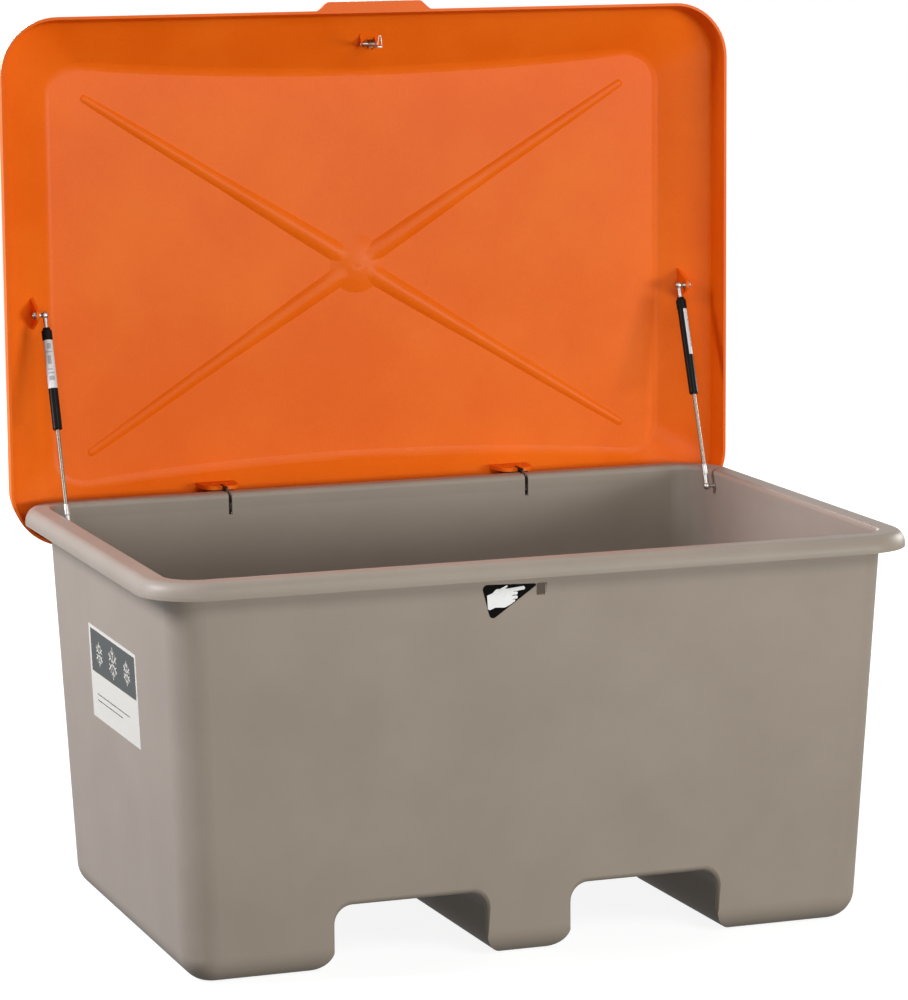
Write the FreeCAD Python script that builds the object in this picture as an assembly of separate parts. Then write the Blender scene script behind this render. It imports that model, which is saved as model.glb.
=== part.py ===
import FreeCAD, Part
import math, os
from FreeCAD import Placement, Rotation, Vector

# Grit salt bin with its lid open, in millimetres: X along the length, Y to the rear, Z up.
# The origin is under the middle of the tub, on the floor.

os.makedirs("parts", exist_ok=True)

AXIS_X = Vector(1, 0, 0)
AXIS_Y = Vector(0, 1, 0)
AXIS_Z = Vector(0, 0, 1)
ORIGIN = Vector(0, 0, 0)

# Tub
floor_half_length = 535.5
floor_half_width = 336.0
end_flare = 25.5
side_flare = 34.0
lip_half_length = floor_half_length + end_flare
lip_half_width = floor_half_width + side_flare
rim_top_z = 608.0
rim_drop = 25.0
lip_z = rim_top_z - rim_drop
rim_reach = 39.0
shoulder_in = 16.0
lip_straight = 4.0
shoulder_down = rim_drop - lip_straight
rim_inner_round = 8.0
tub_wall = 5.0
tub_corner = 49.0
bottom_round = 44.0

# Two pockets under the tub for the forks of a truck
pocket_middle = -10.0
pocket_spacing = 370.5
pocket_half = 118.0
pocket_height = 102.5
pocket_round = 28.0
pocket_draft = 9.0
mouth_flare = 5.0
mouth_y = floor_half_width + mouth_flare

# Slot for a finger in the front wall
finger_slot_width = 16.0
finger_slot_height = 18.4
finger_slot_depth = 15.0
finger_slot_top = lip_z - finger_slot_depth
finger_slot_bottom = finger_slot_top - finger_slot_height

# Lid, measured from its open edge when it lies closed
lid_overlap = 30.0
lid_end_gap = 12.0
lid_side_gap = 8.0
lid_corner_gap = 3.0
lid_edge_z = rim_top_z - lid_overlap
lid_half_length = lip_half_length + rim_reach + lid_end_gap
lid_half_width = lip_half_width + rim_reach + lid_side_gap
lid_corner = tub_corner + rim_reach + lid_corner_gap
lid_wall = 4.5
skirt_height = 43.0
skirt_inset = 6.0
end_slope = math.radians(28.8)
side_slope = math.radians(34.5)
corner_taper = 0.52
panel_end_height = 88.0
panel_margin = 94.0
panel_end = lid_half_length - panel_margin
crown_height = 106.0
knee_round = 9.0
panel_round = 25.0

# Diagonal ribs of the lid
rib_margin_x = 61.0
rib_margin_y = 134.0
rib_end_x = panel_end - rib_margin_x
rib_end_y = lid_half_width - rib_margin_y
rib_radius = 28.0
rib_depth = 5.6
rib_end_radius = 11.0
rib_end_depth = 2.2
rib_swell = 0.4
node_half = 47.0
node_depth = 6.2

# Handle along the front edge of the lid
handle_base = 94.0
handle_tip = 79.0
handle_reach = 14.0

# Hinge of the lid: it turns from closed to open about this line along X
hinge_out = 3.5
hinge_depth = 0.5
hinge_y = lip_half_width + hinge_out
hinge_z = lip_z - hinge_depth
opening = 90.0
hinge_x = 254.0
hinge_slot_width = 5.8
hinge_slot_drop = 9.0
hinge_slot_reach = 30.0
hinge_slot_bottom = hinge_z - hinge_slot_drop
hinge_slot_end = lip_half_width + hinge_slot_reach
hinge_pin_radius = 2.5
hinge_head_radius = 3.2
hub_radius = 8.5
arm_thickness = 3.0
arm_gap = 0.4
arm_height = 50.0
arm_top = lid_edge_z + arm_height
foot_half = 18.0
foot_low = 35.0
foot_high = 72.0
bracket_half = 20.0
bracket_depth = 34.5
plate = 2.0
lug_inset = 28.0
lug_front = lip_half_width - lug_inset
lug_thickness = 6.0
lug_end = 33.0
lug_half = 27.0
lug_sink = 0.67
rivet_radius = 2.0
rivet_x = 11.0
rivet_height = 60.0

# Gas springs: a ball stud on each side wall and one on each ear of the lid
spring_inset = 19.0
lower_ball_reach = 88.5
upper_ball_reach = 321.5
upper_ball_height = 37.0
ear_gap = 10.5
spring_x = lip_half_length - spring_inset
lower_ball_y = hinge_y - lower_ball_reach
lower_ball_z = lip_z
upper_ball_y = hinge_y - upper_ball_reach
ear_inner_x = spring_x + ear_gap
ear_round = 9.0
ear_angle = math.radians(25.8)
stud_radius = 3.0
neck_radius = 2.5
ball_radius = 4.2
socket_radius = 6.0
flange_radius = 5.5
nut_across = 10.0
nut_height = 4.0
rod_radius = 3.0
tube_radius = 7.5
bore_radius = 6.0
cap_radius = 8.3
fitting_length = 37.0
cap_start = 21.0
cap_length = 19.0
tube_length = 146.0

# Catch on the front slope of the lid
catch_inset = 57.0
catch_y = catch_inset - lid_half_width
catch_stand = 12.0
hook_x = 3.0
hook_width = 8.0
hook_tip_width = 4.5
hook_thickness = 2.2
hook_hub = 4.6
nose_depth = 7.0
nose_reach = 7.0
nose_end = -lip_half_width - nose_reach
nose_root = catch_y
catch_pin_radius = 2.0
coil_radius = 6.2
wire_radius = 0.8
coil_pitch = 2.4
coil_turns = 3
coil_start = 9.0
hook_leg = 30.0
base_leg = 15.0
latch_travel = math.radians(14.0)

# Fits
running = 0.05
seat = 0.3
hole_clearance = 0.3


def rounded(points, place):
    """Closed wire through points (a, b, corner radius), put in space by place."""
    arcs = []
    count = len(points)
    for i, (a, b, radius) in enumerate(points):
        here = Vector(a, b, 0)
        back = (Vector(*points[i - 1][:2], 0) - here).normalize()
        ahead = (Vector(*points[(i + 1) % count][:2], 0) - here).normalize()
        half = back.getAngle(ahead) / 2
        reach = radius / math.tan(half)
        inward = (back + ahead).normalize() if radius else ORIGIN
        middle = here + inward * (radius / math.sin(half) - radius)
        arcs.append((here + back * reach, middle, here + ahead * reach))
    edges = []
    for i, (start, middle, end) in enumerate(arcs):
        start, middle, end = (place(p.x, p.y) for p in (start, middle, end))
        if (end - start).Length > 1e-6:
            edges.append(Part.Arc(start, middle, end).toShape())
        follow = arcs[(i + 1) % count][0]
        follow = place(follow.x, follow.y)
        if (follow - end).Length > 1e-6:
            edges.append(Part.makeLine(end, follow))
    return Part.Wire(edges)


def prism_x(points, x0, x1):
    """Solid between two X planes with the outline (y, z, radius)."""
    wire = rounded(points, lambda y, z: Vector(x0, y, z))
    return Part.Face(wire).extrude(Vector(x1 - x0, 0, 0))


def prism_y(points, y0, y1):
    """Solid between two Y planes with the outline (x, z, radius)."""
    wire = rounded(points, lambda x, z: Vector(x, y0, z))
    return Part.Face(wire).extrude(Vector(0, y1 - y0, 0))


def rod_x(radius, x0, x1, y, z):
    """Cylinder along X."""
    low, high = sorted((x0, x1))
    return Part.makeCylinder(radius, high - low, Vector(low, y, z), AXIS_X)


def rectangle(half_x, half_y, radius, z):
    """Rounded rectangle about the middle, at height z."""
    corners = [(-half_x, -half_y), (half_x, -half_y), (half_x, half_y), (-half_x, half_y)]
    return rounded([(x, y, radius) for x, y in corners], lambda x, y: Vector(x, y, z))


def tapered(low, high):
    """Solid between two like wires, with flat sides and ruled corners."""
    faces = [Part.Face(low), Part.Face(high)]
    for a, b in zip(low.OrderedEdges, high.OrderedEdges):
        if isinstance(a.Curve, Part.Circle):
            faces.append(Part.makeRuledSurface(a, b))
        else:
            p, q = a.Vertexes[0].Point, a.Vertexes[1].Point
            r, s = b.Vertexes[1].Point, b.Vertexes[0].Point
            faces.append(Part.Face(Part.makePolygon([p, q, r, s, p])))
    shell = Part.makeShell(faces)
    shell.sewShape()
    return Part.makeSolid(shell)


def flat_edges(shape, z):
    """Edges of a shape that lie in the plane at height z."""
    return [e for e in shape.Edges if abs(e.BoundBox.ZMin - z) + abs(e.BoundBox.ZMax - z) < 1e-4]


def both_sides(make):
    """A piece made for the right side (+1) and for the left (-1)."""
    return {"right": make(1), "left": make(-1)}


def write(name, shape):
    """Write one piece as a STEP file and say how large it is."""
    shape.exportStep(f"parts/{name}.step")
    print(f"{name}: {len(shape.Solids)} solid, {shape.Volume / 1000:.1f} cm3, valid {shape.isValid()}")


def wall_y(z):
    """Outer face of the rear wall at height z."""
    return floor_half_width + (lip_half_width - floor_half_width) * min(z, lip_z) / lip_z


def pocket_outline(middle, y, grow):
    """Outline of a fork pocket at depth y, larger by grow."""
    half = pocket_half + grow
    top = pocket_height + grow
    radius = pocket_round + grow / 2
    points = [(-half, -bottom_round, 0), (half, -bottom_round, 0), (half, top, radius), (-half, top, radius)]
    return rounded([(middle + x, z, r) for x, z, r in points], lambda x, z: Vector(x, y, z))


def tub_form(inset):
    """Outer form of the tub (inset 0) or its hollow (inset by the wall)."""
    slope_x = (lip_half_length - floor_half_length) / lip_z
    slope_y = (lip_half_width - floor_half_width) / lip_z
    low = (floor_half_length + slope_x * inset - inset, floor_half_width + slope_y * inset - inset)
    high = (lip_half_length - inset, lip_half_width - inset)
    corner = tub_corner - inset
    form = tapered(rectangle(*low, corner, inset), rectangle(*high, corner, lip_z))
    middles = [pocket_middle + side * pocket_spacing / 2 for side in (-1, 1)]
    outside = floor_half_width * 1.2
    for middle in middles:
        for side in (-1, 1):
            inner = pocket_outline(middle, 0, inset - pocket_draft)
            mouth = pocket_outline(middle, side * outside, inset + pocket_draft * (outside / mouth_y - 1))
            form = form.cut(tapered(inner, mouth))
    form = form.removeSplitter()
    form = form.makeFillet(bottom_round - inset, flat_edges(form, inset))
    flare = ((-9, 0.1), (-5.5, 0.9), (-2.5, 2.6), (0, 5.2), (1.5, 9), (2.2, 14))
    for middle in middles:
        for side in (-1, 1):
            sections = [pocket_outline(middle, side * (mouth_y - inset + y), inset + g) for y, g in flare]
            form = form.cut(Part.makeLoft(sections, True))
    return form


def rim_section():
    """Rolled rim in section: wall, flat top, round shoulder and lip, from the wall's outer face."""
    inner = Vector(-tub_wall, 0, 0)
    top = rim_top_z
    under = top - tub_wall
    shoulder = rim_reach - shoulder_in
    spring = top - shoulder_down
    lip = rim_reach - tub_wall

    def quarter(half_width, half_height):
        centre = Vector(shoulder, 0, spring)
        curve = Part.Ellipse(centre + Vector(0, 0, half_height), centre + Vector(half_width, 0, 0), centre)
        start = curve.parameter(centre + Vector(half_width, 0, 0))
        end = curve.parameter(centre + Vector(0, 0, half_height))
        if end < start:
            end += 2 * math.pi
        return Part.Edge(curve, start, end) if end - start < math.pi else Part.Edge(curve, end, start + 2 * math.pi)

    round_start = Vector(inner.x, 0, top - rim_inner_round)
    round_end = Vector(inner.x + rim_inner_round, 0, top)
    turn = rim_inner_round * (1 - math.sqrt(0.5))
    edges = [
        Part.makeLine(Vector(inner.x, 0, lip_z), round_start),
        Part.Arc(round_start, Vector(inner.x + turn, 0, top - turn), round_end).toShape(),
        Part.makeLine(round_end, Vector(shoulder, 0, top)),
        quarter(shoulder_in, shoulder_down),
        Part.makeLine(Vector(rim_reach, 0, spring), Vector(rim_reach, 0, lip_z)),
        Part.makeLine(Vector(rim_reach, 0, lip_z), Vector(lip, 0, lip_z)),
        Part.makeLine(Vector(lip, 0, lip_z), Vector(lip, 0, spring)),
        quarter(shoulder_in - tub_wall, shoulder_down - tub_wall),
        Part.makeLine(Vector(shoulder, 0, under), Vector(0, 0, under)),
        Part.makeLine(Vector(0, 0, under), Vector(0, 0, lip_z)),
        Part.makeLine(Vector(0, 0, lip_z), Vector(inner.x, 0, lip_z)),
    ]
    return Part.Face(Part.Wire(Part.__sortEdges__(edges)))


def rim():
    """The rim's section carried round the tub, a quarter at a time."""
    side_y = lip_half_width - tub_corner
    side_x = lip_half_length - tub_corner
    section = rim_section()
    end = section.translated(Vector(lip_half_length, 0, 0)).extrude(Vector(0, side_y, 0))
    turning = section.translated(Vector(lip_half_length, side_y, 0))
    corner = turning.revolve(Vector(side_x, side_y, 0), AXIS_Z, 90)
    turned = section.rotated(ORIGIN, AXIS_Z, 90).translated(Vector(0, lip_half_width, 0))
    quarter = end.fuse([corner, turned.extrude(Vector(side_x, 0, 0))])
    half = quarter.fuse(quarter.mirror(ORIGIN, AXIS_X))
    return half.fuse(half.mirror(ORIGIN, AXIS_Y)).removeSplitter()


def make_tub():
    """Tub with fork pockets, rolled rim, finger slot, hinge slots and stud holes."""
    tub = tub_form(0).cut(tub_form(tub_wall))
    tub = tub.fuse(rim())
    half = finger_slot_width / 2
    slot = [(-half, finger_slot_bottom, 2), (half, finger_slot_bottom, 2),
            (half, finger_slot_top, 2), (-half, finger_slot_top, 2)]
    cuts = [prism_y(slot, -lip_half_width - 5, -lip_half_width + 15)]
    for side in (-1, 1):
        corner = Vector(side * hinge_x - hinge_slot_width / 2, lip_half_width - 15, hinge_slot_bottom)
        depth = hinge_slot_end - corner.y
        cuts.append(Part.makeBox(hinge_slot_width, depth, rim_top_z - hinge_slot_bottom + 5, corner))
        ends = (side * (lip_half_length - 15), side * (lip_half_length + 5))
        cuts.append(rod_x(stud_radius + hole_clearance, *ends, lower_ball_y, lower_ball_z))
    return tub.cut(cuts)


def panel_z(x):
    """Height of the inner face of the arched panel, from the lid's open edge."""
    sag = crown_height - panel_end_height
    radius = (panel_end**2 + sag**2) / (2 * sag)
    return crown_height - radius + math.sqrt(radius**2 - x**2), radius


def rib_tool(side_x, side_y, offset):
    """A long round taper from the panel's middle towards one corner, which presses a rib into it."""
    middle = Vector(0, 0, lid_edge_z + panel_z(0)[0] + rib_radius - rib_depth)
    end_z = lid_edge_z + panel_z(rib_end_x)[0] + rib_end_radius - rib_end_depth
    end = Vector(side_x * rib_end_x, side_y * rib_end_y, end_z)
    length = (end - middle).Length
    panel_at_half = lid_edge_z + panel_z(rib_end_x / 2)[0]
    half_depth = (rib_depth + rib_end_depth) / 2 + rib_swell
    start = rib_radius - offset
    half = (middle.z + end_z) / 2 - panel_at_half + half_depth - offset
    tip = rib_end_radius - offset
    turn = tip * math.sqrt(0.5)
    corners = [ORIGIN, Vector(0, start, 0), Vector(length / 2, half, 0), Vector(length, tip, 0)]
    end_point = Vector(length + tip, 0, 0)
    profile = Part.Wire([Part.makeLine(*pair) for pair in zip(corners, corners[1:])] + [
        Part.Arc(corners[-1], Vector(length + turn, turn, 0), end_point).toShape(), Part.makeLine(end_point, ORIGIN)])
    bar = Part.Face(profile).revolve(ORIGIN, AXIS_X, 360)
    bar.Placement = Placement(middle, Rotation(AXIS_X, end - middle))
    return bar


def rib_node(offset):
    """A ball that presses the low dome where the ribs meet."""
    radius = (node_half**2 + node_depth**2) / (2 * node_depth)
    return Part.makeSphere(radius - offset, Vector(0, 0, lid_edge_z + crown_height + radius - node_depth))


def lid_form(offset):
    """Hollow of the closed lid (offset 0) or its outer form (offset by the wall)."""
    knee = skirt_height + offset * math.tan(end_slope)
    half_x = lid_half_length - lid_wall + offset
    half_y = lid_half_width - lid_wall + offset
    corner = lid_corner - lid_wall + offset
    rise = crown_height - skirt_height + 20
    edge = rectangle(half_x, half_y, corner, lid_edge_z)
    half_x -= skirt_inset
    half_y -= skirt_inset
    corner -= skirt_inset
    bend = rectangle(half_x, half_y, corner, lid_edge_z + knee)
    half_x -= rise / math.tan(end_slope)
    half_y -= rise / math.tan(side_slope)
    top = rectangle(half_x, half_y, corner - rise * corner_taper, lid_edge_z + knee + rise)
    form = tapered(edge, bend).fuse(tapered(bend, top)).removeSplitter()
    radius = panel_z(0)[1]
    arch = Part.makeCylinder(
        radius + offset, 3 * lid_half_width, Vector(0, -1.5 * lid_half_width, lid_edge_z + crown_height - radius),
        AXIS_Y)
    form = form.common(arch)
    form = form.makeFillet(knee_round + offset, flat_edges(form, lid_edge_z + knee))
    form = form.makeFillet(panel_round + offset, arch_edges(form, radius + offset))
    form = form.cut(rib_node(offset))
    for side_x, side_y in ((-1, -1), (-1, 1), (1, -1), (1, 1)):
        form = form.cut(rib_tool(side_x, side_y, offset))
    return form


def arch_edges(form, radius):
    """Edges round the arched panel, whose surface has the given radius."""
    for face in form.Faces:
        if isinstance(face.Surface, Part.Cylinder) and abs(face.Surface.Radius - radius) < 0.01:
            return face.OuterWire.Edges
    raise ValueError("the arched panel isn't there")


def make_handle():
    """Lip along the middle of the lid's front edge, to lift it by."""
    front = -lid_half_width
    tip = front - handle_reach
    half = [(-handle_base - 16, front + 3, 0), (-handle_base, front - 0.5, 14), (-handle_tip, tip, 9)]
    points = half + [(-x, y, r) for x, y, r in reversed(half)]
    wire = rounded(points, lambda x, y: Vector(x, y, lid_edge_z))
    return Part.Face(wire).extrude(Vector(0, 0, lid_wall))


def slope_height(y):
    """Height of the inner face of the front and rear slopes, at y from the middle, from the lid's edge."""
    return skirt_height + (lid_half_width - lid_wall - skirt_inset - y) * math.tan(side_slope)


def ear(side):
    """Fin under the end slope that carries the upper ball stud."""
    apex = upper_ball_height - ear_round / math.sin(ear_angle)
    root = skirt_height + (lid_half_length - lid_wall - skirt_inset - ear_inner_x) * math.tan(end_slope)
    half = (root - apex) * math.tan(ear_angle)
    points = [(upper_ball_y, lid_edge_z + apex, ear_round), (upper_ball_y + half, lid_edge_z + root, 0),
              (upper_ball_y - half, lid_edge_z + root, 0)]
    fin = prism_x(points, side * ear_inner_x, side * (ear_inner_x + lid_wall))
    ends = (side * (ear_inner_x - 5), side * (ear_inner_x + 10))
    return fin.cut(rod_x(stud_radius + hole_clearance, *ends, upper_ball_y, lid_edge_z + upper_ball_height))


def lug(side):
    """Shelf under the rear slope that carries a hinge arm, slit for the arm."""
    root = slope_height(lug_front) + lug_sink
    points = [(-lug_half - 6, root, 0), (lug_half + 6, root, 0), (lug_half, lug_end, 20), (-lug_half, lug_end, 20)]
    outline = [(side * hinge_x + x, lid_edge_z + w, r) for x, w, r in points]
    shelf = prism_y(outline, lug_front, lug_front + lug_thickness)
    half_slit = arm_thickness / 2 + seat
    start = Vector(side * hinge_x - half_slit, lug_front - 5, lid_edge_z)
    cuts = [Part.makeBox(2 * half_slit, lug_thickness + 10, arm_top + seat - lid_edge_z, start)]
    for x in (-rivet_x, rivet_x):
        place = Vector(side * hinge_x + x, lug_front - 5, lid_edge_z + rivet_height)
        cuts.append(Part.makeCylinder(rivet_radius + hole_clearance / 2, lug_thickness + 10, place, AXIS_Y))
    return shelf.cut(cuts)


def make_lid():
    """Lid as moulded: shell, handle, ears and hinge lugs, lying closed."""
    pieces = [make_handle()]
    for side in (-1, 1):
        pieces += [ear(side), lug(side)]
    return lid_form(lid_wall).cut(lid_form(0)).fuse(pieces).removeSplitter()


def hinge_arm(side):
    """Steel blade from the hinge pin through the rim's slot to a foot behind the lug."""
    rear = lug_front + lug_thickness
    foot = rear + arm_thickness
    blade = [(hinge_y - 8, hinge_z - 5.5, 3), (hinge_y - 21.5, hinge_z + 7.5, 8), (lug_front - 1.5, hinge_z + 10.5, 4),
             (lug_front - 1.5, arm_top, 4), (foot, arm_top, 0), (foot, rim_top_z + 6, 0),
             (rear + 1, rim_top_z + 3, 1), (rear + 1, rim_top_z + 0.5, 1), (hinge_y - 17, rim_top_z - 0.5, 6),
             (hinge_y + 4, hinge_z + 14, 6), (hinge_y + 6, hinge_z, 4)]
    x0 = side * hinge_x - arm_thickness / 2
    arm = prism_x(blade, x0, x0 + arm_thickness)
    arm = arm.fuse(rod_x(hub_radius, x0, x0 + arm_thickness, hinge_y, hinge_z))
    left, right = side * hinge_x - foot_half, side * hinge_x + foot_half
    low, high = lid_edge_z + foot_low, lid_edge_z + foot_high
    pad = [(left, low, 4), (right, low, 4), (right, high, 4), (left, high, 4)]
    arm = arm.fuse(prism_y(pad, rear, foot)).removeSplitter()
    cuts = [rod_x(hinge_pin_radius + running, x0 - 1, x0 + arm_thickness + 1, hinge_y, hinge_z)]
    for x in (-rivet_x, rivet_x):
        place = Vector(side * hinge_x + x, rear - 1, lid_edge_z + rivet_height)
        cuts.append(Part.makeCylinder(rivet_radius + hole_clearance / 2, arm_thickness + 2, place, AXIS_Y))
    return arm.cut(cuts)


def hinge_rivets():
    """The two rivets of each hinge arm."""
    rivets = []
    end = lug_front + lug_thickness + arm_thickness
    for x in (-hinge_x - rivet_x, -hinge_x + rivet_x, hinge_x - rivet_x, hinge_x + rivet_x):
        base = Vector(x, lug_front, lid_edge_z + rivet_height)
        shank = Part.makeCylinder(rivet_radius, end - lug_front, base, AXIS_Y)
        front = Part.makeCone(2.6, 4, 1.2, base - AXIS_Y * 1.2, AXIS_Y)
        back = Part.makeCone(4, 3, 1.4, Vector(x, end, base.z), AXIS_Y)
        rivets.append(shank.fuse([front, back]).removeSplitter())
    return Part.makeCompound(rivets)


def hinge_bracket(side):
    """Folded steel bracket on the outside of the rear wall, under the rim, that holds the pin."""
    low = hinge_z - bracket_depth
    high = hinge_slot_bottom - 1
    top = hinge_z + hub_radius
    inner = arm_thickness / 2 + arm_gap
    low_y, high_y, lip_y = (wall_y(z) + seat for z in (low, high, lip_z))
    cheek = [(low_y, low, 0), (lip_y, lip_z, 0), (lip_y, top, 3), (hinge_y + 9, top, 8),
             (hinge_y + 9, hinge_z - 9, 8), (low_y + 7, low, 3)]
    web = [(low_y, low, 0), (high_y, high, 0), (high_y + plate, high, 0), (low_y + plate, low, 0)]
    x = side * hinge_x
    bracket = prism_x(web, x - bracket_half, x + bracket_half)
    bracket = bracket.fuse([prism_x(cheek, x - inner - plate, x - inner), prism_x(cheek, x + inner, x + inner + plate)])
    bore = rod_x(hinge_pin_radius + running, x - bracket_half, x + bracket_half, hinge_y, hinge_z)
    return bracket.cut(bore).removeSplitter()


def hinge_pin(side):
    """Pin with a flat head at its outer end and a peened inner end."""
    half = arm_thickness / 2 + arm_gap + plate
    x = side * hinge_x
    head = rod_x(hinge_head_radius, x + side * (half + 0.2), x + side * (half + 1.9), hinge_y, hinge_z)
    shank = rod_x(hinge_pin_radius, x - side * (half + 1.2), x + side * (half + 1), hinge_y, hinge_z)
    peen = rod_x(hinge_head_radius, x - side * (half + 1.4), x - side * (half + 0.2), hinge_y, hinge_z)
    return shank.fuse([head, peen]).removeSplitter()


def opened(shape):
    """A piece of the closed lid, turned to the open rest position."""
    return shape.rotated(Vector(0, hinge_y, hinge_z), AXIS_X, -opening)


def opened_point(y, z):
    """Where a point of the closed lid is when the lid is open."""
    return hinge_y + z - hinge_z, hinge_z - (y - hinge_y)


upper_open_y, upper_open_z = opened_point(upper_ball_y, lid_edge_z + upper_ball_height)
lower_ball = Vector(spring_x, lower_ball_y, lower_ball_z)
open_vector = Vector(0, upper_open_y - lower_ball_y, upper_open_z - lower_ball_z)
closed_vector = Vector(0, upper_ball_y - lower_ball_y, lid_edge_z + upper_ball_height - lower_ball_z)
open_length = open_vector.Length
stroke = open_length - closed_vector.Length
tilt_open = math.degrees(math.atan2(open_vector.z, open_vector.y))
tilt_closed = math.degrees(math.atan2(closed_vector.z, closed_vector.y))


def turned_profile(points):
    """Solid of revolution about Z through (radius, height) points."""
    corners = [Vector(r, 0, h) for r, h in points]
    return Part.Face(Part.makePolygon(corners + corners[:1])).revolve(ORIGIN, AXIS_Z, 360)


def on_spring(shape, side):
    """Put a piece, made upright over the lower ball, along the open gas spring of one side."""
    moved = shape.copy()
    lean = Rotation(AXIS_X, tilt_open - 90)
    moved.Placement = Placement(Vector(side * spring_x, lower_ball_y, lower_ball_z), lean)
    return moved


def socket(side):
    """Ball socket at the origin with a shank down to the fitting, open towards the side wall."""
    body = Part.makeSphere(socket_radius)
    cavity = Part.makeSphere(ball_radius + running)
    mouth = rod_x(neck_radius + hole_clearance, 0, side * (socket_radius + 1), 0, 0)
    return body, cavity.fuse(mouth)


def lower_socket(side):
    """Lower end fitting: ball socket, neck, lock ring and the ferrule that the rod screws into."""
    body, hollow = socket(side)
    stem = turned_profile([(0, 0), (4, 0), (4, 19), (5, 19.6), (5, 22.4), (4, 23), (4, 35.5), (3.4, fitting_length),
                           (0, fitting_length)])
    bore = Part.makeCylinder(rod_radius + running, 10, Vector(0, 0, fitting_length - 7.5))
    return on_spring(body.fuse(stem).cut([hollow, bore]), side)


def piston_rod(side):
    """Ground rod from the lower fitting to the piston."""
    start = fitting_length - 7
    return on_spring(Part.makeCylinder(rod_radius, piston_start() + 9 - start, Vector(0, 0, start)), side)


def tube_start():
    """Height of the tube's lower end over the lower ball when the spring is long."""
    return open_length - cap_start - cap_length - tube_length


def piston_start():
    """Height of the piston's lower face over the lower ball."""
    return tube_start() + 10


def piston(side):
    """Piston on the end of the rod, running in the tube."""
    r = bore_radius - running
    base = piston_start()
    ring = turned_profile([(0, base), (r - 1, base), (r, base + 1), (r, base + 4), (r - 0.8, base + 4.6),
                           (r - 0.8, base + 6.4), (r, base + 7), (r, base + 9), (r - 1, base + 10), (0, base + 10)])
    return on_spring(ring.cut(Part.makeCylinder(rod_radius, 9, Vector(0, 0, base))), side)


def cylinder_tube(side):
    """Tube of the gas spring."""
    base = tube_start()
    tube = turned_profile([(bore_radius, base), (tube_radius - 1, base), (tube_radius, base + 1.5),
                           (tube_radius, base + tube_length), (bore_radius, base + tube_length)])
    return on_spring(tube, side)


def rod_guide(side):
    """Guide and seal at the tube's lower end."""
    base = tube_start()
    ring = turned_profile([(rod_radius + running, base + 0.6), (bore_radius, base + 0.6), (bore_radius, base + 8),
                           (rod_radius + running, base + 8)])
    return on_spring(ring, side)


def end_cap(side):
    """Cap that closes the tube's upper end, stepped down to the socket's shank."""
    base = open_length - cap_start - cap_length
    top = base + cap_length
    cap = turned_profile([(0, base - 6), (bore_radius, base - 6), (bore_radius, base), (cap_radius, base),
                          (cap_radius, top - 5), (cap_radius - 1.5, top - 3.5), (6.2, top - 3), (5.8, top), (0, top)])
    return on_spring(cap, side)


def upper_socket(side):
    """Upper end fitting: ball socket and the shank that joins it to the cap."""
    body, hollow = socket(side)
    lift = Vector(0, 0, open_length)
    shank = Part.makeCylinder(3.5, cap_start, Vector(0, 0, open_length - cap_start))
    return on_spring(body.translated(lift).fuse(shank).cut(hollow.translated(lift)), side)


def lower_stud(side):
    """Ball stud through the side wall."""
    seat_x = lip_half_length - tub_wall - seat - 0.2
    y, z = lower_ball_y, lower_ball_z
    ball = Part.makeSphere(ball_radius, Vector(side * spring_x, y, z), AXIS_X)
    neck = rod_x(neck_radius, side * spring_x, side * (seat_x - 2), y, z)
    flange = rod_x(flange_radius, side * (seat_x - 2), side * seat_x, y, z)
    shank = rod_x(stud_radius, side * seat_x, side * (lip_half_length + seat + nut_height + 1.5), y, z)
    return ball.fuse([neck, flange, shank]).removeSplitter()


def upper_stud(side):
    """Stud on the lid's ear, drawn short of the socket's face because the linkage is open there."""
    y, z = upper_ball_y, lid_edge_z + upper_ball_height
    neck = rod_x(neck_radius, side * (spring_x + socket_radius + seat), side * (ear_inner_x - 2), y, z)
    flange = rod_x(flange_radius, side * (ear_inner_x - 2), side * ear_inner_x, y, z)
    shank = rod_x(stud_radius, side * ear_inner_x, side * (ear_inner_x + lid_wall + nut_height + 1.5), y, z)
    return opened(neck.fuse([flange, shank]).removeSplitter())


def nut(side, x, y, z):
    """Hexagon nut with its inner face at x."""
    outline = Part.Wire(Part.makePolygon([
        Vector(side * x, y + nut_across / math.sqrt(3) * math.cos(a), z + nut_across / math.sqrt(3) * math.sin(a))
        for a in [math.radians(60 * k) for k in range(7)]]))
    body = Part.Face(outline).extrude(Vector(side * nut_height, 0, 0))
    return body.cut(rod_x(stud_radius, side * (x - 1), side * (x + nut_height + 1), y, z))


def catch_point(s, n):
    """Point of the front slope's frame: s up the slope, n down from its inner face."""
    centre = Vector(0, catch_y, lid_edge_z + catch_height())
    along = Vector(0, math.cos(side_slope), math.sin(side_slope))
    down = Vector(0, math.sin(side_slope), -math.cos(side_slope))
    return centre + along * s + down * (n - catch_stand)


def catch_height():
    """Height of the catch's pin above the lid's open edge."""
    return slope_height(-catch_y) - catch_stand / math.cos(side_slope)


def slope_prism(points, x0, x1):
    """Solid between two X planes with an outline in the slope's frame (s, n, radius)."""
    def place(s, n):
        return catch_point(s, n) + AXIS_X * x0
    return Part.Face(rounded(points, place)).extrude(Vector(x1 - x0, 0, 0))


catch_left = hook_x - hook_width / 2 - 0.5
catch_right = coil_start + (coil_turns + 1) * coil_pitch + 2.0


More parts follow.
